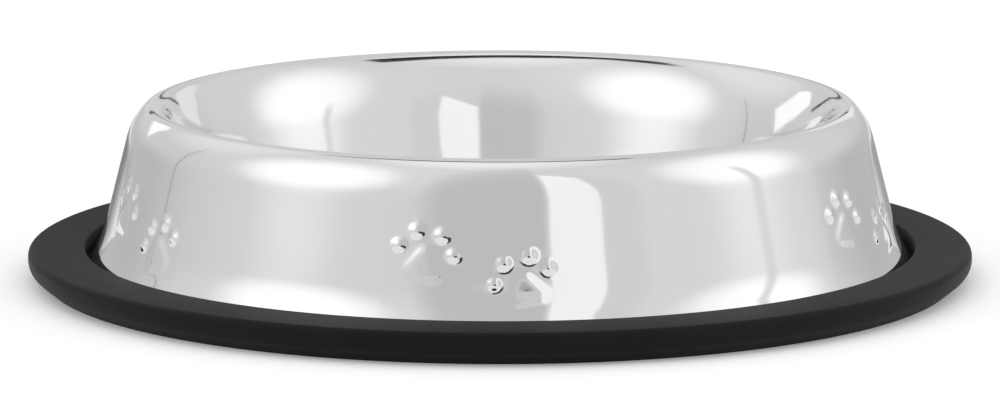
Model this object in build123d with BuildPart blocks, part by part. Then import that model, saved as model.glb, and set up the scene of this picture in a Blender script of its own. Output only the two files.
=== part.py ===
from build123d import *

import os
from math import cos, radians, sin, tan

# A low feeding bowl pressed from one steel sheet, standing in a rubber channel ring.
# Millimetres and degrees. Z is up, the origin is on the ground at the middle of the bowl,
# and the front is towards -Y. Leans are measured from the vertical.

# Steel sheet and rim
sheet = 0.7
bowl_height = 48.3
crest_radius = 95.3
crest_round = 3.8
crest_turn = 45
shoulder_round = 17.6

# Skirt, from the shoulder down to the edge that stands in the ring
skirt_lean = 14.3
flare_height = 16.0
flare_round = 26.5
foot_lean = 29.2

# Basin
basin_shoulder_round = 36.0
basin_lean = 16
basin_corner_round = 13.0
basin_floor_height = 7.5

# Paw prints, pressed outwards in pairs
pair_angles = (-64.4, -3.6, 66.8, 124.0, 181.0, 238.0)
pair_spread = 14.2
upper_paw_height = 22.3
lower_paw_height = 16.2
upper_paw_tilt = -9
lower_paw_tilt = 16
paw_width = 19.0
toe_rise = 0.75
pad_rise = 0.55
pad_side_lean = 74
pad_edge_round = 1.5
paw_root = 1.0

# Toes and pad lobes: centre across, centre up and radius, as shares of the paw's width
toe_shares = ((-0.39, 0.195, 0.12), (-0.18, 0.43, 0.132), (0.18, 0.43, 0.132), (0.39, 0.195, 0.12))
pad_lobe_shares = ((0, 0.09, 0.182), (-0.155, -0.115, 0.157), (0.155, -0.115, 0.157))

# Rubber ring, from the mouth of its channel outwards and from its ledge upwards
ring_width = 15.63
ring_foot_inset = 5.0
ring_belly_height = 4.1
ring_belly_round = 4.0
ring_top_round = 1.9
ring_edge_round = 0.6
ring_fall = 0.4
seat_height = 4.0
mouth_depth = 5.3
upstand_rise = 4.4
upstand_width = 3.4
channel_corner_round = 0.2
channel_clearance = 0.2
upstand_clearance = 0.4

# Cuts run on this far past what they cut
overrun = 1.0

# Heights and radii that the sheet passes through on its visible face
turn = radians(crest_turn)
lean = radians(skirt_lean)
foot = radians(foot_lean)
basin = radians(basin_lean)
shoulder_height = bowl_height - crest_round * (1 - cos(turn)) - shoulder_round * (cos(turn) - sin(lean))
shoulder_radius = crest_radius + crest_round * sin(turn) + shoulder_round * (cos(lean) - sin(turn))
skirt_length = (shoulder_height - flare_height) / cos(lean)
flare_radius = shoulder_radius + skirt_length * sin(lean)
foot_top_height = flare_height - flare_round * (sin(foot) - sin(lean))
foot_top_radius = flare_radius + flare_round * (cos(lean) - cos(foot))
wall_top_height = bowl_height - crest_round * (1 - cos(turn)) - basin_shoulder_round * (cos(turn) - sin(basin))
corner_height = basin_floor_height + basin_corner_round * (1 - sin(basin))
wall_length = (wall_top_height - corner_height) / cos(basin)


def foot_radius(height):
    """Radius of the sheet's visible face on the straight foot of the skirt."""
    return foot_top_radius + (foot_top_height - height) * tan(foot)


def draw_sheet(depth, end_height):
    """Close a half section below the sheet's visible face, at a depth under that face."""
    crest = (crest_radius, bowl_height - depth)

    # Outwards and down: roll, shoulder, skirt, flare and foot
    outer_roll = JernArc(crest, (1, 0), crest_round - depth, -crest_turn)
    outer_shoulder = JernArc(outer_roll @ 1, outer_roll % 1, shoulder_round - depth, crest_turn + skirt_lean - 90)
    skirt = Line(outer_shoulder @ 1, outer_shoulder @ 1 + outer_shoulder % 1 * skirt_length)
    flare = JernArc(skirt @ 1, skirt % 1, flare_round + depth, foot_lean - skirt_lean)
    edge = (foot_radius(end_height) - depth / cos(foot), end_height)
    Line(flare @ 1, edge)

    # Inwards and down: roll, shoulder, wall, corner and floor
    inner_roll = JernArc(crest, (-1, 0), crest_round - depth, crest_turn)
    inner_bend = 90 - basin_lean - crest_turn
    inner_shoulder = JernArc(inner_roll @ 1, inner_roll % 1, basin_shoulder_round - depth, inner_bend)
    wall = Line(inner_shoulder @ 1, inner_shoulder @ 1 + inner_shoulder % 1 * wall_length)
    corner = JernArc(wall @ 1, wall % 1, basin_corner_round + depth, basin_lean - 90)
    middle = (0, basin_floor_height - depth)
    Line(corner @ 1, middle)

    Polyline(edge, (0, end_height), middle)


def pad_outline(inset):
    """Outline of a paw's pad, drawn in by an inset: a band round three lobes."""
    for across, up, radius in pad_lobe_shares:
        with Locations((across * paw_width, up * paw_width)):
            Circle(radius * paw_width - inset)
    make_hull()


def pressed_paw(depth, edge_round):
    """One paw print in its own plane, x across, y up and z outwards, at a depth under its face."""
    side_lean = radians(pad_side_lean)
    side_inset = depth / cos(side_lean)
    with BuildPart() as paw:
        with BuildSketch(Plane.XY.offset(-paw_root)):
            pad_outline(side_inset - paw_root * tan(side_lean))
        with BuildSketch(Plane.XY.offset(pad_rise - depth)):
            pad_outline(side_inset + (pad_rise - depth) * tan(side_lean))
        loft(ruled=True)
        if edge_round:
            fillet(paw.faces().sort_by(Axis.Z)[-1].edges(), edge_round)
        for across, up, radius in toe_shares:
            toe_round = ((radius * paw_width) ** 2 + toe_rise**2) / (2 * toe_rise)
            with Locations((across * paw_width, up * paw_width, toe_rise - toe_round)):
                Sphere(toe_round - depth)
    return paw.part


def paw_place(angle, height, tilt):
    """Plane on the skirt at an angle from the front, with its z outwards."""
    radius = shoulder_radius + (shoulder_height - height) * tan(lean)
    bearing = angle - 90
    centre = Vector(radius, 0, height).rotate(Axis.Z, bearing)
    across = Vector(0, 1, 0).rotate(Axis.Z, bearing)
    outwards = Vector(cos(lean), 0, sin(lean)).rotate(Axis.Z, bearing)
    return Plane(centre, across, outwards).rotated((0, 0, tilt))


paw_places = []
for pair_angle in pair_angles:
    paw_places.append(paw_place(pair_angle - pair_spread / 2, upper_paw_height, upper_paw_tilt))
    paw_places.append(paw_place(pair_angle + pair_spread / 2, lower_paw_height, lower_paw_tilt))

# The space under the sheet, with the hollow back of each paw print
with BuildPart() as underside:
    with BuildSketch(Plane.XZ):
        with BuildLine():
            draw_sheet(sheet, seat_height - overrun)
        make_face()
    revolve(axis=Axis.Z)
    with Locations(*paw_places):
        add(pressed_paw(sheet, 0))

# The bowl, as a blank with raised paw prints that is hollowed out from below
with BuildPart() as steel_bowl:
    with BuildSketch(Plane.XZ):
        with BuildLine():
            draw_sheet(0, seat_height)
        make_face()
    revolve(axis=Axis.Z)
    with Locations(*paw_places):
        add(pressed_paw(0, pad_edge_round))
    add(underside.part, mode=Mode.SUBTRACT)

# The ring: a broad outer wall, a ledge that the sheet's edge stands on, and an inner upstand
mouth_radius = foot_radius(seat_height) + channel_clearance
mouth_height = seat_height + mouth_depth
ring_radius = mouth_radius + ring_width
upstand_height = seat_height + upstand_rise
upstand_radius = foot_radius(upstand_height) - sheet / cos(foot) - upstand_clearance
ring_inner_radius = upstand_radius - upstand_width
ring_corners = (
    (ring_inner_radius, 0, ring_edge_round),
    (ring_radius - ring_foot_inset, 0, ring_edge_round),
    (ring_radius, ring_belly_height, ring_belly_round),
    (ring_radius, mouth_height - ring_fall, ring_top_round),
    (mouth_radius, mouth_height, ring_edge_round),
    (mouth_radius, seat_height, channel_corner_round),
    (upstand_radius, seat_height, channel_corner_round),
    (upstand_radius, upstand_height, ring_edge_round),
    (ring_inner_radius, upstand_height, ring_edge_round),
)
with BuildPart() as rubber_ring:
    with BuildSketch(Plane.XZ) as ring_section:
        with BuildLine():
            Polyline(*[(radius, height) for radius, height, _ in ring_corners], close=True)
        make_face()
        for radius, height, corner_round in ring_corners:
            fillet(ring_section.vertices().sort_by_distance((radius, height))[0], corner_round)
    revolve(axis=Axis.Z)

# One file for each piece
os.makedirs("parts", exist_ok=True)
steel_bowl.part.label = "steel_bowl"
export_step(steel_bowl.part, "parts/steel_bowl.step")
rubber_ring.part.label = "rubber_ring"
export_step(rubber_ring.part, "parts/rubber_ring.step")
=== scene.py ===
from math import cos, pi, radians, sin, tan

import bpy
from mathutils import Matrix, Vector


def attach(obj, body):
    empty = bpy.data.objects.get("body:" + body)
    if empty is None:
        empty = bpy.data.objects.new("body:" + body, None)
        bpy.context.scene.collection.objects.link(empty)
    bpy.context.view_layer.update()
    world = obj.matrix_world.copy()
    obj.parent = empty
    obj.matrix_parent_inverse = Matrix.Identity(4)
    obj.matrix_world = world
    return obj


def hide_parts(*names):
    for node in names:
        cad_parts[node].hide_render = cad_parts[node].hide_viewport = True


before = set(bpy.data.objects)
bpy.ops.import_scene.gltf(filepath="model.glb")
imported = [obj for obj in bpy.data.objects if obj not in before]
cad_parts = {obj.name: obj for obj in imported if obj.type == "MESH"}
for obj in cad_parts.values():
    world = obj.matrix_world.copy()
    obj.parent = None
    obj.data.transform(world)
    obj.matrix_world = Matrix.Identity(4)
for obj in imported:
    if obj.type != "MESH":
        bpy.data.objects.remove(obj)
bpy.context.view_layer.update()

# A low steel feeding bowl in a broad rubber ring. Metres in the scene; sizes below are in
# millimetres and degrees. The front of the bowl is towards -Y.
MM = 0.001

# Steel sheet, from the rim outwards and inwards
sheet = 0.7
bowl_height = 48.3
crest_radius = 95.3
crest_round = 3.8
crest_turn = 45
shoulder_round = 17.6
skirt_lean = 14.3
flare_height = 16.0
flare_round = 26.5
foot_lean = 29.2
basin_shoulder_round = 36.0
basin_lean = 16
basin_corner_round = 13.0
basin_floor_height = 7.5

# Paw prints, pressed outwards in pairs: toes and pad lobes are shares of the paw's width
pair_angles = (-64.4, -3.6, 66.8, 124.0, 181.0, 238.0)
pair_spread = 14.2
upper_paw_height = 22.3
lower_paw_height = 16.2
upper_paw_tilt = -9
lower_paw_tilt = 16
paw_width = 19.0
toe_rise = 0.75
pad_rise = 0.55
pad_foot_share = 0.3
pad_side_width = 2.7
toe_shares = ((-0.39, 0.195, 0.135), (-0.18, 0.43, 0.148), (0.18, 0.43, 0.148), (0.39, 0.195, 0.135))
pad_lobe_shares = ((0, 0.09, 0.20), (-0.155, -0.115, 0.175), (0.155, -0.115, 0.175))

# Rubber ring
ring_width = 15.63
ring_foot_inset = 5.0
ring_belly_height = 4.1
ring_belly_round = 4.0
ring_top_round = 1.9
ring_edge_round = 0.6
ring_fall = 0.4
seat_height = 4.0
mouth_depth = 5.3
upstand_rise = 4.4
upstand_width = 3.4
channel_corner_round = 0.2
channel_clearance = 0.2
upstand_clearance = 0.4

# Fineness of the meshes: steps along the sheet's face and columns round the axis
floor_shares = (0, 0.12, 0.4, 0.7)
roll_steps = 7
basin_shoulder_steps = 13
wall_steps = 2
corner_steps = 16
shoulder_steps = 8
plain_skirt_share = 0.26
plain_skirt_steps = 4
pressed_skirt_steps = 34
flare_steps = 13
foot_steps = 9
back_fineness = 0.42
small_round = 1.0
small_round_steps = 4
round_steps = 9
pair_margin = 6
pair_columns = 84
plain_columns = 11
ring_columns = 288

# Limits for joining points, for the depth behind the skirt's face that is pressed, and for sharp edges
join_distance = 0.001
press_depth = 3
sharp_angle = 45

# Angles, heights, radii and lengths of the sheet that follow from its sizes
turn = radians(crest_turn)
lean = radians(skirt_lean)
foot = radians(foot_lean)
basin = radians(basin_lean)
crest_drop = crest_round * (1 - cos(turn))
shoulder_height = bowl_height - crest_drop - shoulder_round * (cos(turn) - sin(lean))
shoulder_radius = crest_radius + crest_round * sin(turn) + shoulder_round * (cos(lean) - sin(turn))
skirt_length = (shoulder_height - flare_height) / cos(lean)
flare_radius = shoulder_radius + skirt_length * sin(lean)
foot_top_height = flare_height - flare_round * (sin(foot) - sin(lean))
foot_top_radius = flare_radius + flare_round * (cos(lean) - cos(foot))
foot_length = (foot_top_height - seat_height) / cos(foot)
wall_top_height = bowl_height - crest_drop - basin_shoulder_round * (cos(turn) - sin(basin))
corner_height = basin_floor_height + basin_corner_round * (1 - sin(basin))
wall_length = (wall_top_height - corner_height) / cos(basin)


def linear(hex_colour):
    """Linear colour of an sRGB hex value."""
    channels = [int(hex_colour[start:start + 2], 16) / 255 for start in (1, 3, 5)]
    return [
        channel / 12.92 if channel <= 0.04045 else ((channel + 0.055) / 1.055) ** 2.4
        for channel in channels
    ] + [1]


def add(tree, kind, inputs=None, **settings):
    """Add a node with its settings, and set or link its inputs by name or number."""
    node = tree.nodes.new(kind)
    for name, value in settings.items():
        setattr(node, name, value)
    for place, value in (inputs or {}).items():
        if isinstance(value, bpy.types.NodeSocket):
            tree.links.new(value, node.inputs[place])
        else:
            node.inputs[place].default_value = value
    return node


def walk(start, heading, runs):
    """Points of a line walked in straight runs and arcs, each given as (length, turn, steps)."""
    points = [start]
    for length, bend, steps in runs:
        x, y = points[-1]
        for step in range(1, steps + 1):
            gone = length * step / steps
            swing = radians(bend) * step / steps
            chord = gone if bend == 0 else 2 * gone / swing * sin(swing / 2)
            points.append((x + chord * cos(heading + swing / 2), y + chord * sin(heading + swing / 2)))
        heading += radians(bend)
    return points


def sheet_line(depth, fineness):
    """The sheet's section at a depth under its visible face, from the basin's middle to the foot."""
    def arc(radius, bend, steps):
        return radius * radians(abs(bend)), bend, max(2, round(steps * fineness))

    def straight(length, steps):
        return length, 0, max(1, round(steps * fineness))

    crest = (crest_radius, bowl_height - depth)
    plain_skirt = plain_skirt_share * skirt_length
    outwards = walk(crest, 0, (
        arc(crest_round - depth, -crest_turn, roll_steps),
        arc(shoulder_round - depth, crest_turn + skirt_lean - 90, shoulder_steps),
        straight(plain_skirt, plain_skirt_steps),
        straight(skirt_length - plain_skirt, pressed_skirt_steps),
        arc(flare_round + depth, foot_lean - skirt_lean, flare_steps),
        straight(foot_length - depth * tan(foot), foot_steps),
    ))
    inwards = walk(crest, pi, (
        arc(crest_round - depth, crest_turn, roll_steps),
        arc(basin_shoulder_round - depth, 90 - basin_lean - crest_turn, basin_shoulder_steps),
        straight(wall_length, wall_steps),
        arc(basin_corner_round + depth, basin_lean - 90, corner_steps),
    ))
    floor_radius = inwards[-1][0]
    floor = [(floor_radius * share, basin_floor_height - depth) for share in floor_shares]
    return floor + inwards[::-1] + outwards[1:]


def rounded(corners):
    """Closed line through corners given as (radius, height, round)."""
    points = []
    for place, (x, y, corner_round) in enumerate(corners):
        here = Vector((x, y))
        before = (Vector(corners[place - 1][:2]) - here).normalized()
        after = (Vector(corners[(place + 1) % len(corners)][:2]) - here).normalized()
        half_angle = before.angle(after) / 2
        middle = here + (before + after).normalized() * corner_round / sin(half_angle)
        first = here + before * corner_round / tan(half_angle) - middle
        last = here + after * corner_round / tan(half_angle) - middle
        steps = small_round_steps if corner_round < small_round else round_steps
        swing = first.angle_signed(last)
        for step in range(steps + 1):
            angle = -swing * step / steps
            points.append((
                middle.x + first.x * cos(angle) - first.y * sin(angle),
                middle.y + first.x * sin(angle) + first.y * cos(angle),
            ))
    return points + points[:1]


def blank(name, section, bearings):
    """Loose points for spinning: the section's points, then one point for each bearing."""
    mesh = bpy.data.meshes.new(name)
    points = [(radius * MM, 0, height * MM) for radius, height in section]
    mesh.from_pydata(points + [(radians(bearing), 0, 0) for bearing in bearings], [], [])
    is_bearing = mesh.attributes.new("is_bearing", "BOOLEAN", "POINT")
    is_bearing.data.foreach_set("value", [False] * len(section) + [True] * len(bearings))
    piece = bpy.data.objects.new(name, mesh)
    bpy.context.scene.collection.objects.link(piece)
    return piece


def new_tree(name, sizes):
    """A geometry tree with a geometry input, named inputs and a geometry output."""
    tree = bpy.data.node_groups.new(name, "GeometryNodeTree")
    tree.interface.new_socket("Geometry", in_out="INPUT", socket_type="NodeSocketGeometry")
    for size_name, socket_type in sizes:
        tree.interface.new_socket(size_name, in_out="INPUT", socket_type=socket_type)
    tree.interface.new_socket("Geometry", in_out="OUTPUT", socket_type="NodeSocketGeometry")
    return tree


def spin_tree():
    """Spins the section's points round Z, with one column of faces between two bearings."""
    tree = new_tree("spun_section", (("Join Distance", "NodeSocketFloat"), ("Finish", "NodeSocketMaterial")))
    given = add(tree, "NodeGroupInput").outputs
    is_bearing = add(tree, "GeometryNodeInputNamedAttribute", {"Name": "is_bearing"}, data_type="BOOLEAN")
    parted = add(tree, "GeometryNodeSeparateGeometry", {
        "Geometry": given["Geometry"], "Selection": is_bearing.outputs["Attribute"]})
    bearings = parted.outputs["Selection"]
    section = parted.outputs["Inverted"]
    columns = add(tree, "GeometryNodeAttributeDomainSize", {"Geometry": bearings}).outputs["Point Count"]
    rows = add(tree, "GeometryNodeAttributeDomainSize", {"Geometry": section}).outputs["Point Count"]
    grid = add(tree, "GeometryNodeMeshGrid", {"Vertices X": columns, "Vertices Y": rows})
    index = add(tree, "GeometryNodeInputIndex").outputs["Index"]
    column = add(tree, "FunctionNodeIntegerMath", {0: index, 1: rows}, operation="DIVIDE_FLOOR")
    row = add(tree, "FunctionNodeIntegerMath", {0: index, 1: rows}, operation="MODULO")
    place = add(tree, "GeometryNodeInputPosition").outputs["Position"]
    section_point = add(tree, "GeometryNodeSampleIndex", {
        "Geometry": section, "Value": place, "Index": row.outputs[0]}, data_type="FLOAT_VECTOR")
    bearing_point = add(tree, "GeometryNodeSampleIndex", {
        "Geometry": bearings, "Value": place, "Index": column.outputs[0]}, data_type="FLOAT_VECTOR")
    bearing = add(tree, "ShaderNodeSeparateXYZ", {0: bearing_point.outputs["Value"]}).outputs["X"]
    spun = add(tree, "ShaderNodeVectorRotate", {
        "Vector": section_point.outputs["Value"], "Angle": bearing}, rotation_type="Z_AXIS")
    bent = add(tree, "GeometryNodeSetPosition", {
        "Geometry": grid.outputs["Mesh"], "Position": spun.outputs["Vector"]})
    joined = add(tree, "GeometryNodeMergeByDistance", {
        "Geometry": bent.outputs["Geometry"], "Distance": given["Join Distance"]})
    smooth = add(tree, "GeometryNodeSetShadeSmooth", {"Geometry": joined.outputs["Geometry"]})
    real = add(tree, "GeometryNodeRealizeInstances", {"Geometry": smooth.outputs["Geometry"]})
    finished = add(tree, "GeometryNodeSetMaterial", {
        "Geometry": real.outputs["Geometry"], "Material": given["Finish"]})
    add(tree, "NodeGroupOutput", {"Geometry": finished.outputs["Geometry"]})
    return tree


def pad_height(tree, given, spot):
    """Height of a paw's pad: the nearest of three bands from lobe to lobe, lower towards its foot."""
    pad_gap = None
    for number, (x, y, radius) in enumerate(pad_lobe_shares):
        next_x, next_y, next_radius = pad_lobe_shares[(number + 1) % len(pad_lobe_shares)]
        run = (next_x - x, next_y - y, 0)
        run_squared = run[0] ** 2 + run[1] ** 2
        from_lobe = add(tree, "ShaderNodeVectorMath", {0: spot, 1: (x, y, 0)}, operation="SUBTRACT")
        dot = add(tree, "ShaderNodeVectorMath", {
            0: from_lobe.outputs["Vector"], 1: run}, operation="DOT_PRODUCT")
        share = add(tree, "ShaderNodeMath", {
            0: dot.outputs["Value"], 1: 1 / run_squared}, operation="MULTIPLY", use_clamp=True)
        band_point = add(tree, "ShaderNodeVectorMath", {
            0: run, "Scale": share.outputs["Value"]}, operation="SCALE")
        reach = add(tree, "ShaderNodeVectorMath", {
            0: from_lobe.outputs["Vector"], 1: band_point.outputs["Vector"]}, operation="DISTANCE")
        band_radius = add(tree, "ShaderNodeMath", {
            0: share.outputs["Value"], 1: next_radius - radius, 2: radius}, operation="MULTIPLY_ADD")
        band_gap = add(tree, "ShaderNodeMath", {
            0: reach.outputs["Value"], 1: band_radius.outputs["Value"]}, operation="SUBTRACT")
        gap = band_gap.outputs["Value"]
        if pad_gap is None:
            pad_gap = gap
        else:
            pad_gap = add(tree, "ShaderNodeMath", {0: pad_gap, 1: gap}, operation="MINIMUM").outputs["Value"]
    pad_inset = add(tree, "ShaderNodeMath", {0: pad_gap, 1: given["Paw Width"]}, operation="MULTIPLY")
    pad_side = add(tree, "ShaderNodeMath", {0: 0.0, 1: given["Pad Side Width"]}, operation="SUBTRACT")
    pad_slope = add(tree, "ShaderNodeMapRange", {
        "Value": add(tree, "ShaderNodeSeparateXYZ", {0: spot}).outputs["Y"],
        "From Min": min(y - radius for _, y, radius in pad_lobe_shares),
        "From Max": max(y + radius for _, y, radius in pad_lobe_shares),
        "To Min": given["Pad Foot Share"], "To Max": 1.0,
    })
    pad_top = add(tree, "ShaderNodeMath", {
        0: pad_slope.outputs["Result"], 1: given["Pad Rise"]}, operation="MULTIPLY")
    height = add(tree, "ShaderNodeMapRange", {
        "Value": pad_inset.outputs["Value"], "From Min": 0.0, "From Max": pad_side.outputs["Value"],
        "To Min": 0.0, "To Max": pad_top.outputs["Value"],
    }, interpolation_type="SMOOTHSTEP")
    return height.outputs["Result"]


def toe_height(tree, given, spot, toe_centre, toe_radius):
    """Height of one toe of a paw: a bell."""
    reach = add(tree, "ShaderNodeVectorMath", {0: spot, 1: toe_centre}, operation="DISTANCE")
    share = add(tree, "ShaderNodeMath", {0: reach.outputs["Value"], 1: 1 / toe_radius}, operation="MULTIPLY")
    squared = add(tree, "ShaderNodeMath", {0: share.outputs["Value"], 1: 2.0}, operation="POWER")
    fall = add(tree, "ShaderNodeMath", {
        0: 1.0, 1: squared.outputs["Value"]}, operation="SUBTRACT", use_clamp=True)
    bell = add(tree, "ShaderNodeMath", {0: fall.outputs["Value"], 1: 2.0}, operation="POWER")
    toe = add(tree, "ShaderNodeMath", {
        0: bell.outputs["Value"], 1: given["Toe Rise"]}, operation="MULTIPLY")
    return toe.outputs["Value"]


def press_tree():
    """Presses a paw print outwards at each place, on the face and on the back of the sheet."""
    tree = new_tree("pressed_paws", (
        ("Places", "NodeSocketObject"),
        ("Paw Width", "NodeSocketFloat"),
        ("Toe Rise", "NodeSocketFloat"),
        ("Pad Rise", "NodeSocketFloat"),
        ("Pad Foot Share", "NodeSocketFloat"),
        ("Pad Side Width", "NodeSocketFloat"),
        ("Reach", "NodeSocketFloat"),
        ("Finish", "NodeSocketMaterial"),
    ))
    given = add(tree, "NodeGroupInput").outputs
    places = add(tree, "GeometryNodeObjectInfo", {"Object": given["Places"]}).outputs["Geometry"]
    place = add(tree, "GeometryNodeInputPosition").outputs["Position"]
    nearest = add(tree, "GeometryNodeSampleNearest", {"Geometry": places, "Sample Position": place})
    centre = add(tree, "GeometryNodeSampleIndex", {
        "Geometry": places, "Value": place, "Index": nearest.outputs["Index"]}, data_type="FLOAT_VECTOR")
    offset = add(tree, "ShaderNodeVectorMath", {0: place, 1: centre.outputs["Value"]}, operation="SUBTRACT")
    axes = {}
    along = {}
    for axis in ("across", "upwards", "outwards"):
        held = add(tree, "GeometryNodeInputNamedAttribute", {"Name": axis}, data_type="FLOAT_VECTOR")
        axes[axis] = add(tree, "GeometryNodeSampleIndex", {
            "Geometry": places, "Value": held.outputs["Attribute"], "Index": nearest.outputs["Index"],
        }, data_type="FLOAT_VECTOR").outputs["Value"]
        along[axis] = add(tree, "ShaderNodeVectorMath", {
            0: offset.outputs["Vector"], 1: axes[axis]}, operation="DOT_PRODUCT").outputs["Value"]
    flat = add(tree, "ShaderNodeCombineXYZ", {"X": along["across"], "Y": along["upwards"]})
    inverse_width = add(tree, "ShaderNodeMath", {0: 1.0, 1: given["Paw Width"]}, operation="DIVIDE")
    shrunk = add(tree, "ShaderNodeVectorMath", {
        0: flat.outputs["Vector"], "Scale": inverse_width.outputs["Value"]}, operation="SCALE")
    spot = shrunk.outputs["Vector"]

    height = pad_height(tree, given, spot)
    for x, y, radius in toe_shares:
        toe = toe_height(tree, given, spot, (x, y, 0), radius)
        height = add(tree, "ShaderNodeMath", {0: height, 1: toe}, operation="MAXIMUM").outputs["Value"]

    # Only the skirt is pressed, its face and its back alike
    on_skirt = add(tree, "ShaderNodeMath", {
        0: along["outwards"], 1: given["Reach"]}, operation="GREATER_THAN")
    push = add(tree, "ShaderNodeVectorMath", {
        0: axes["outwards"], "Scale": height}, operation="SCALE")
    moved = add(tree, "GeometryNodeSetPosition", {
        "Geometry": given["Geometry"],
        "Selection": on_skirt.outputs["Value"],
        "Offset": push.outputs["Vector"],
    })
    real = add(tree, "GeometryNodeRealizeInstances", {"Geometry": moved.outputs["Geometry"]})
    finished = add(tree, "GeometryNodeSetMaterial", {
        "Geometry": real.outputs["Geometry"], "Material": given["Finish"]})
    add(tree, "NodeGroupOutput", {"Geometry": finished.outputs["Geometry"]})
    return tree


def shape(piece, tree, values):
    """Run a tree on a piece and keep the result as its plain mesh."""
    modifier = piece.modifiers.new(tree.name, "NODES")
    modifier.node_group = tree
    for item in tree.interface.items_tree:
        if item.in_out == "INPUT" and item.name in values:
            modifier[item.identifier] = values[item.name]
    bpy.context.view_layer.update()
    evaluated = piece.evaluated_get(bpy.context.evaluated_depsgraph_get())
    mesh = bpy.data.meshes.new_from_object(evaluated)
    piece.modifiers.remove(modifier)
    piece.data = mesh
    mesh.name = piece.name


def bowl_bearings():
    """Bearings of the bowl's columns, with more of them where the paws are."""
    pair_half_width = pair_spread / 2 + pair_margin
    bearings = []
    for number, pair_angle in enumerate(pair_angles):
        following = pair_angles[number + 1] if number + 1 < len(pair_angles) else pair_angles[0] + 360
        start = pair_angle - pair_half_width
        end = pair_angle + pair_half_width
        bearings += [start + (end - start) * step / pair_columns for step in range(pair_columns)]
        plain = following - pair_half_width - end
        bearings += [end + plain * step / plain_columns for step in range(plain_columns)]
    bearings.append(bearings[0] + 360)
    return [bearing - 90 for bearing in bearings]


def paw_places():
    """An object with one point for each paw print, which carries the print's own axes."""
    prints = []
    for pair_angle in pair_angles:
        prints.append((pair_angle - pair_spread / 2, upper_paw_height, upper_paw_tilt))
        prints.append((pair_angle + pair_spread / 2, lower_paw_height, lower_paw_tilt))
    centres = []
    axes = {"across": [], "upwards": [], "outwards": []}
    up = Vector((0, 0, 1))
    for angle, height, tilt in prints:
        bearing = radians(angle - 90)
        outside = Vector((cos(bearing), sin(bearing), 0))
        side = Vector((-sin(bearing), cos(bearing), 0))
        rising = up * cos(lean) - outside * sin(lean)
        skirt_radius = shoulder_radius + (shoulder_height - height) * tan(lean)
        centres.append((outside * skirt_radius + up * height) * MM)
        axes["outwards"] += list(outside * cos(lean) + up * sin(lean))
        axes["across"] += list(side * cos(radians(tilt)) + rising * sin(radians(tilt)))
        axes["upwards"] += list(rising * cos(radians(tilt)) - side * sin(radians(tilt)))
    mesh = bpy.data.meshes.new("paw_places")
    mesh.from_pydata(centres, [], [])
    for axis, directions in axes.items():
        mesh.attributes.new(axis, "FLOAT_VECTOR", "POINT").data.foreach_set("vector", directions)
    places = bpy.data.objects.new("paw_places", mesh)
    bpy.context.scene.collection.objects.link(places)
    return places


def new_material(name):
    """A material, its nodes and its shader."""
    material = bpy.data.materials.new(name)
    material.use_nodes = True
    tree = material.node_tree
    return material, tree, tree.nodes["Principled BSDF"]


# Most of a noise lies between these two values
noise_low = 0.3
noise_high = 0.7

# Polished stainless steel: pressed, then buffed round the axis. A clear but slightly soft mirror,
# with faint rings from the buffing wheel and a long shallow waviness from the press. The rings are
# drawn coarser than real ones, so that they show.
buff_spacing = 0.9
least_blur = 0.05
most_blur = 0.085
wave_width = 26.0
wave_depth = 0.12
polished_steel, tree, shader = new_material("polished_stainless_steel")
shader.inputs["Base Color"].default_value = linear("#DCDADB")
shader.inputs["Metallic"].default_value = 1.0
coordinates = add(tree, "ShaderNodeTexCoord").outputs["Object"]
parts = add(tree, "ShaderNodeSeparateXYZ", {0: coordinates}).outputs
across = add(tree, "ShaderNodeCombineXYZ", {"X": parts["X"], "Y": parts["Y"]})
radius = add(tree, "ShaderNodeVectorMath", {0: across.outputs["Vector"]}, operation="LENGTH")
rings_at = add(tree, "ShaderNodeCombineXYZ", {"X": radius.outputs["Value"], "Y": parts["Z"]})
buff_rings = add(tree, "ShaderNodeTexNoise", {
    "Vector": rings_at.outputs["Vector"], "Scale": 1 / (buff_spacing * MM), "Detail": 2.0})
waves = add(tree, "ShaderNodeTexNoise", {
    "Vector": coordinates, "Scale": 1 / (wave_width * MM), "Detail": 1.0})
blur = add(tree, "ShaderNodeMapRange", {
    "Value": buff_rings.outputs["Fac"], "From Min": noise_low, "From Max": noise_high,
    "To Min": least_blur, "To Max": most_blur})
tree.links.new(blur.outputs["Result"], shader.inputs["Roughness"])
wave_bump = add(tree, "ShaderNodeBump", {
    "Height": waves.outputs["Fac"], "Strength": 1.0, "Distance": wave_depth * MM})
tree.links.new(wave_bump.outputs["Normal"], shader.inputs["Normal"])

# Moulded black rubber: matt, with the fine grain of the mould and a trace of grey bloom. The grain is
# drawn coarser than a real one, so that it shows.
grain_width = 0.5
grain_depth = 0.05
least_dullness = 0.5
most_dullness = 0.6
bloom_width = 18.0
black_rubber, tree, shader = new_material("moulded_black_rubber")
shader.inputs["IOR"].default_value = 1.5
shader.inputs["Specular IOR Level"].default_value = 0.12
coordinates = add(tree, "ShaderNodeTexCoord").outputs["Object"]
grain = add(tree, "ShaderNodeTexNoise", {
    "Vector": coordinates, "Scale": 1 / (grain_width * MM), "Detail": 3.0})
bloom = add(tree, "ShaderNodeTexNoise", {
    "Vector": coordinates, "Scale": 1 / (bloom_width * MM), "Detail": 4.0})
tone = add(tree, "ShaderNodeMix", {
    "Factor": bloom.outputs["Fac"], "A": linear("#100F10"), "B": linear("#161516")}, data_type="RGBA")
tree.links.new(tone.outputs["Result"], shader.inputs["Base Color"])
dullness = add(tree, "ShaderNodeMapRange", {
    "Value": grain.outputs["Fac"], "From Min": noise_low, "From Max": noise_high,
    "To Min": least_dullness, "To Max": most_dullness})
tree.links.new(dullness.outputs["Result"], shader.inputs["Roughness"])
grain_bump = add(tree, "ShaderNodeBump", {
    "Height": grain.outputs["Fac"], "Strength": 0.4, "Distance": grain_depth * MM})
tree.links.new(grain_bump.outputs["Normal"], shader.inputs["Normal"])

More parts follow.
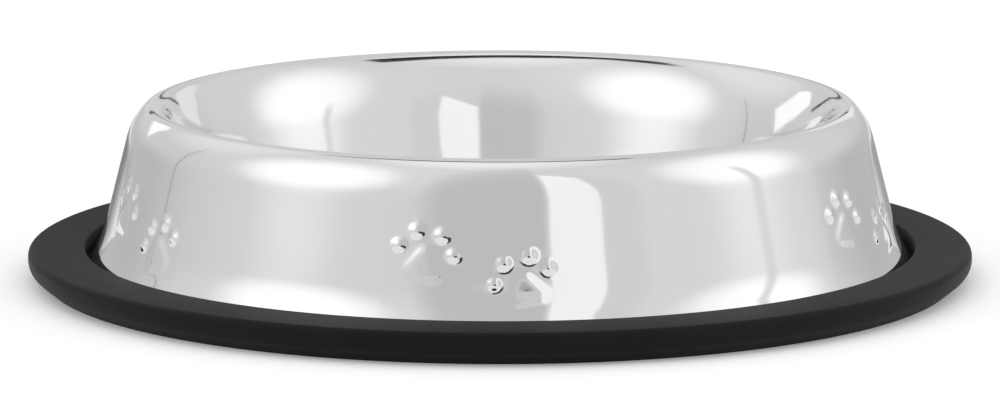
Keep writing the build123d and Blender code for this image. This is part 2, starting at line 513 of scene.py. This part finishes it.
# Bowl: the sheet's two faces as one closed section, spun round the axis and then pressed
face = sheet_line(0, 1)
back = sheet_line(sheet, back_fineness)
steel_bowl = blank("pressed_bowl", back + face[::-1], bowl_bearings())
places = paw_places()
spin = spin_tree()
shape(steel_bowl, spin, {"Join Distance": join_distance * MM, "Finish": polished_steel})
shape(steel_bowl, press_tree(), {
    "Places": places,
    "Paw Width": paw_width * MM,
    "Toe Rise": toe_rise * MM,
    "Pad Rise": pad_rise * MM,
    "Pad Foot Share": pad_foot_share,
    "Pad Side Width": pad_side_width * MM,
    "Reach": -press_depth * MM,
    "Finish": polished_steel,
})
bpy.data.objects.remove(places)
steel_bowl.data.set_sharp_from_angle(angle=radians(sharp_angle))
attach(steel_bowl, "bowl")
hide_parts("steel_bowl")

# Ring: a broad outer wall, a ledge that the sheet's edge stands on, and an inner upstand
foot_radius = foot_top_radius + (foot_top_height - seat_height) * tan(foot)
mouth_radius = foot_radius + channel_clearance
mouth_height = seat_height + mouth_depth
ring_radius = mouth_radius + ring_width
upstand_height = seat_height + upstand_rise
upstand_radius = foot_radius - upstand_rise * tan(foot) - sheet / cos(foot) - upstand_clearance
ring_inner_radius = upstand_radius - upstand_width
ring_section = rounded((
    (ring_inner_radius, 0, ring_edge_round),
    (ring_radius - ring_foot_inset, 0, ring_edge_round),
    (ring_radius, ring_belly_height, ring_belly_round),
    (ring_radius, mouth_height - ring_fall, ring_top_round),
    (mouth_radius, mouth_height, ring_edge_round),
    (mouth_radius, seat_height, channel_corner_round),
    (upstand_radius, seat_height, channel_corner_round),
    (upstand_radius, upstand_height, ring_edge_round),
    (ring_inner_radius, upstand_height, ring_edge_round),
))
ring_bearings = [360 * step / ring_columns for step in range(ring_columns + 1)]
rubber_ring = blank("moulded_ring", ring_section, ring_bearings)
shape(rubber_ring, spin, {"Join Distance": join_distance * MM, "Finish": black_rubber})
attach(rubber_ring, "ring")
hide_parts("rubber_ring")


# Studio in metres: a white floor in a glowing tent, and soft cards for what the steel mirrors
def keep_on_stage(name, mesh, material):
    """Put a mesh of the studio in place, lit or dark, where only what mirrors it shows it."""
    thing = bpy.data.objects.new(name, mesh)
    bpy.context.scene.collection.objects.link(thing)
    mesh.materials.append(material)
    thing.visible_camera = False
    thing.visible_diffuse = False
    thing.visible_shadow = False


def soft_card(name, low_line, high_line, strengths, fades):
    """A sheet between two lines that glows with one strength low and one high.

    It fades out towards its left, right, low and high edge by shares of its size.
    """
    mesh = bpy.data.meshes.new(name)
    spans = len(low_line) - 1
    faces = [(start, start + 1, start + spans + 2, start + spans + 1) for start in range(spans)]
    mesh.from_pydata(low_line + high_line, [], faces)
    chart_places = []
    for start in range(spans):
        left, right = start / spans, (start + 1) / spans
        chart_places += [left, 0, right, 0, right, 1, left, 1]
    mesh.uv_layers.new(name="chart").data.foreach_set("uv", chart_places)
    material = bpy.data.materials.new(name)
    material.use_nodes = True
    tree = material.node_tree
    tree.nodes.clear()
    chart = add(tree, "ShaderNodeUVMap", uv_map="chart").outputs["UV"]
    at = add(tree, "ShaderNodeSeparateXYZ", {0: chart}).outputs
    left, right, low, high = fades
    cover = 1.0
    for axis, edge, full in (("X", 0, left), ("X", 1, 1 - right), ("Y", 0, low), ("Y", 1, 1 - high)):
        fade = add(tree, "ShaderNodeMapRange", {
            "Value": at[axis], "From Min": edge, "From Max": full}, interpolation_type="SMOOTHSTEP")
        cover = add(tree, "ShaderNodeMath", {
            0: fade.outputs["Result"], 1: cover}, operation="MULTIPLY").outputs["Value"]
    clear = add(tree, "ShaderNodeBsdfTransparent")
    glow = add(tree, "ShaderNodeMapRange", {
        "Value": at["Y"], "To Min": strengths[0], "To Max": strengths[1]})
    lit = add(tree, "ShaderNodeEmission", {"Strength": glow.outputs["Result"]})
    mixed = add(tree, "ShaderNodeMixShader", {0: cover, 1: clear.outputs[0], 2: lit.outputs[0]})
    add(tree, "ShaderNodeOutputMaterial", {"Surface": mixed.outputs[0]})
    keep_on_stage(name, mesh, material)


def upright(points, low, high):
    """The low and the high line of an upright sheet over points of the floor."""
    return [(*point, low) for point in points], [(*point, high) for point in points]


# White floor: matt paper that catches the shadow, lifted to white where it is seen or mirrored
floor_reach = 4
floor_lift = 0.16
floor_corners = [(x * floor_reach, y * floor_reach, 0) for x, y in ((-1, -1), (1, -1), (1, 1), (-1, 1))]
floor_mesh = bpy.data.meshes.new("floor")
floor_mesh.from_pydata(floor_corners, [], [(0, 1, 2, 3)])
floor = bpy.data.objects.new("floor", floor_mesh)
bpy.context.scene.collection.objects.link(floor)
white_floor, tree, shader = new_material("white_floor")
shader.inputs["Base Color"].default_value = linear("#F4F4F4")
shader.inputs["Roughness"].default_value = 0.9
light_path = add(tree, "ShaderNodeLightPath").outputs
seen = add(tree, "ShaderNodeMath", {
    0: light_path["Is Camera Ray"], 1: light_path["Is Glossy Ray"]}, operation="MAXIMUM")
seen = add(tree, "ShaderNodeMath", {
    0: seen.outputs["Value"], 1: light_path["Is Transmission Ray"]}, operation="MAXIMUM")
lift = add(tree, "ShaderNodeMath", {0: seen.outputs["Value"], 1: floor_lift}, operation="MULTIPLY")
shader.inputs["Emission Color"].default_value = (1, 1, 1, 1)
tree.links.new(lift.outputs["Value"], shader.inputs["Emission Strength"])
floor_mesh.materials.append(white_floor)

# Front: the grey slit that the camera looks through, the flap and the fold beside it, the camera's foot
slit_left = (-0.114, -0.273)
slit_right = (0.031, -0.177)
flap_right = (0.200, -0.387)
flap_foot = 0.02
flap_left_top = 0.18
flap_right_top = 0.47
fold_right = (0.42, -0.45)
camera_foot = ((-0.05, -0.5), (0.17, -0.5))
soft_card(
    "slit", *upright((slit_left, slit_right), low=0.045, high=0.42),
    strengths=(0.70, 0.74), fades=(0.45, 0.02, 0.02, 0.85),
)
soft_card(
    "flap",
    [(*slit_right, flap_foot), (*flap_right, flap_foot)],
    [(*slit_right, flap_left_top), (*flap_right, flap_right_top)],
    strengths=(1.22, 1.28), fades=(0.02, 0.04, 0.02, 0.04),
)
soft_card(
    "fold", *upright((flap_right, fold_right), low=flap_foot, high=0.6),
    strengths=(0.86, 0.86), fades=(0.02, 0.6, 0.02, 0.3),
)
soft_card(
    "camera_foot", *upright(camera_foot, low=0.0, high=0.13),
    strengths=(0.05, 0.05), fades=(0.15, 0.15, 0.02, 0.3),
)

# Foot of the tent round the back: places on the floor, each with its height
tent_half = [(0.24, -0.04, 0.09), (0.22, 0.12, 0.09), (0.30, 0.40, 0.11), (0.34, 0.62, 0.13)]
tent_foot = tent_half + [(0.0, 0.85, 0.13)] + [(-x, y, top) for x, y, top in reversed(tent_half)]
soft_card(
    "tent_foot", [(x, y, 0.0) for x, y, _ in tent_foot], tent_foot,
    strengths=(0.62, 0.66), fades=(0.1, 0.1, 0.01, 0.5),
)

# Bright window at the back: places on the floor, each with the heights of its sill and its head
window_edges = ((-0.443, 0.456, 0.12, 0.29), (-0.63, 1.066, 0.32, 0.61), (-0.916, 1.87, 0.58, 0.84))
soft_card(
    "back_window",
    [(x, y, sill) for x, y, sill, _ in window_edges],
    [(x, y, head) for x, y, _, head in window_edges],
    strengths=(1.35, 1.35), fades=(0.02, 0.12, 0.15, 0.1),
)

# Pale panel and dark rail at the back
panel_line = ((0.22, 0.87), (0.40, 0.78))
rail_line = ((-0.34, 0.86), (0.34, 0.86))
soft_card(
    "back_panel", *upright(panel_line, low=0.14, high=0.52),
    strengths=(1.0, 1.0), fades=(0.2, 0.02, 0.1, 0.2),
)
soft_card(
    "back_rail", *upright(rail_line, low=0.215, high=0.245),
    strengths=(0.05, 0.05), fades=(0.05, 0.05, 0.2, 0.2),
)

# Dark painted rod of the tent's frame, leaning away on the left
rod_ends = ((-0.879, 0.358, 0), (-2.04, 0.978, 1.4))
rod_radius = 0.0045
rod_curve = bpy.data.curves.new("frame_rod", "CURVE")
rod_curve.dimensions = "3D"
rod_curve.bevel_depth = rod_radius
rod_path = rod_curve.splines.new("POLY")
rod_path.points.add(1)
for point, rod_end in zip(rod_path.points, rod_ends):
    point.co = (*rod_end, 1)
rod_maker = bpy.data.objects.new("frame_rod_line", rod_curve)
bpy.context.scene.collection.objects.link(rod_maker)
bpy.context.view_layer.update()
rod_mesh = bpy.data.meshes.new_from_object(rod_maker.evaluated_get(bpy.context.evaluated_depsgraph_get()))
bpy.data.objects.remove(rod_maker)
dark_rod, tree, shader = new_material("dark_rod")
shader.inputs["Base Color"].default_value = linear("#181818")
shader.inputs["Roughness"].default_value = 0.6
keep_on_stage("frame_rod", rod_mesh, dark_rod)

# Dark ridge overhead: places across, each with its near and its far edge
ridge_height = 0.5
ridge_edges = (
    (-0.26, 0.155, 0.175), (-0.20, 0.105, 0.15), (-0.15, 0.075, 0.135), (-0.10, 0.04, 0.115),
    (-0.05, 0.016, 0.095), (0.0, 0.012, 0.08), (0.05, 0.014, 0.08), (0.09, 0.02, 0.085),
    (0.13, 0.03, 0.10), (0.168, 0.05, 0.12),
)
soft_card(
    "ridge",
    [(x, near, ridge_height) for x, near, _ in ridge_edges],
    [(x, far, ridge_height) for x, _, far in ridge_edges],
    strengths=(0.03, 0.03), fades=(0.1, 0.02, 0.05, 0.1),
)

# Soft seam of the tent on the right, leaning back
seam_distance = 0.54
seam_height = 0.45
seam_foot = (-0.155, -0.10)
seam_head = (-0.125, -0.07)
soft_card(
    "side_seam",
    [(seam_distance, y, 0.0) for y in seam_foot],
    [(seam_distance, y, seam_height) for y in seam_head],
    strengths=(0.94, 0.98), fades=(0.4, 0.4, 0.01, 0.3),
)

# Low grey strips just outside the ring, each with its side, its bearings from there and its strength
strip_radius = 0.17
strip_height = 0.036
strip_spans = 8
for name, side, start, end, strength in (
    ("left_strip", -1, 20, 75, 0.27),
    ("right_strip", 1, 21, 70, 0.40),
):
    strip = []
    for step in range(strip_spans + 1):
        bearing = radians(start + (end - start) * step / strip_spans)
        strip.append((side * strip_radius * cos(bearing), strip_radius * sin(bearing)))
    soft_card(
        name, *upright(strip, low=0.0, high=strip_height),
        strengths=(strength, strength), fades=(0.3, 0.1, 0.01, 0.3),
    )

# World: an even glow and soft lamps, each with its bearing from the front, height, reach and strength
even_glow = 0.75
lamps = (
    (-68, 37, 29, 0.52), (-55, 36, 60, 0.14), (87, 34, 28, 0.48), (60, 26, 60, 0.18),
    (122, 30, 38, 0.12), (-110, 60, 80, 0.10), (-135, 42, 24, 0.18), (88, 10, 28, 0.09),
    (0, 90, 25, 0.3),
)
world = bpy.data.worlds.new("tent")
bpy.context.scene.world = world
world.use_nodes = True
tree = world.node_tree
direction = add(tree, "ShaderNodeTexCoord").outputs["Generated"]
glow = even_glow
for bearing, height, reach, strength in lamps:
    lamp = Vector((sin(radians(bearing)), -cos(radians(bearing)), tan(radians(height)))).normalized()
    near_lamp = add(tree, "ShaderNodeVectorMath", {0: direction, 1: lamp}, operation="DOT_PRODUCT")
    spot = add(tree, "ShaderNodeMapRange", {
        "Value": near_lamp.outputs["Value"], "From Min": cos(radians(reach)),
        "To Min": 0.0, "To Max": strength,
    }, interpolation_type="SMOOTHSTEP")
    glow = add(tree, "ShaderNodeMath", {0: glow, 1: spot.outputs["Result"]}, operation="ADD").outputs["Value"]
tree.links.new(glow, tree.nodes["Background"].inputs["Strength"])
tree.nodes["Background"].inputs["Color"].default_value = (1, 1, 1, 1)

# Camera: a long lens that looks down at the bowl by about ten degrees
camera_place = (0, -1.6003, 0.3007)
camera_aim = Vector((0, 0, 0.0191))
camera_data = bpy.data.cameras.new("camera")
camera_data.lens = 212
camera_data.sensor_width = 36
camera = bpy.data.objects.new("camera", camera_data)
bpy.context.scene.collection.objects.link(camera)
camera.location = camera_place
camera.rotation_euler = (camera_aim - camera.location).to_track_quat("-Z", "Y").to_euler()
bpy.context.scene.camera = camera

bpy.context.scene.view_settings.view_transform = "Standard"
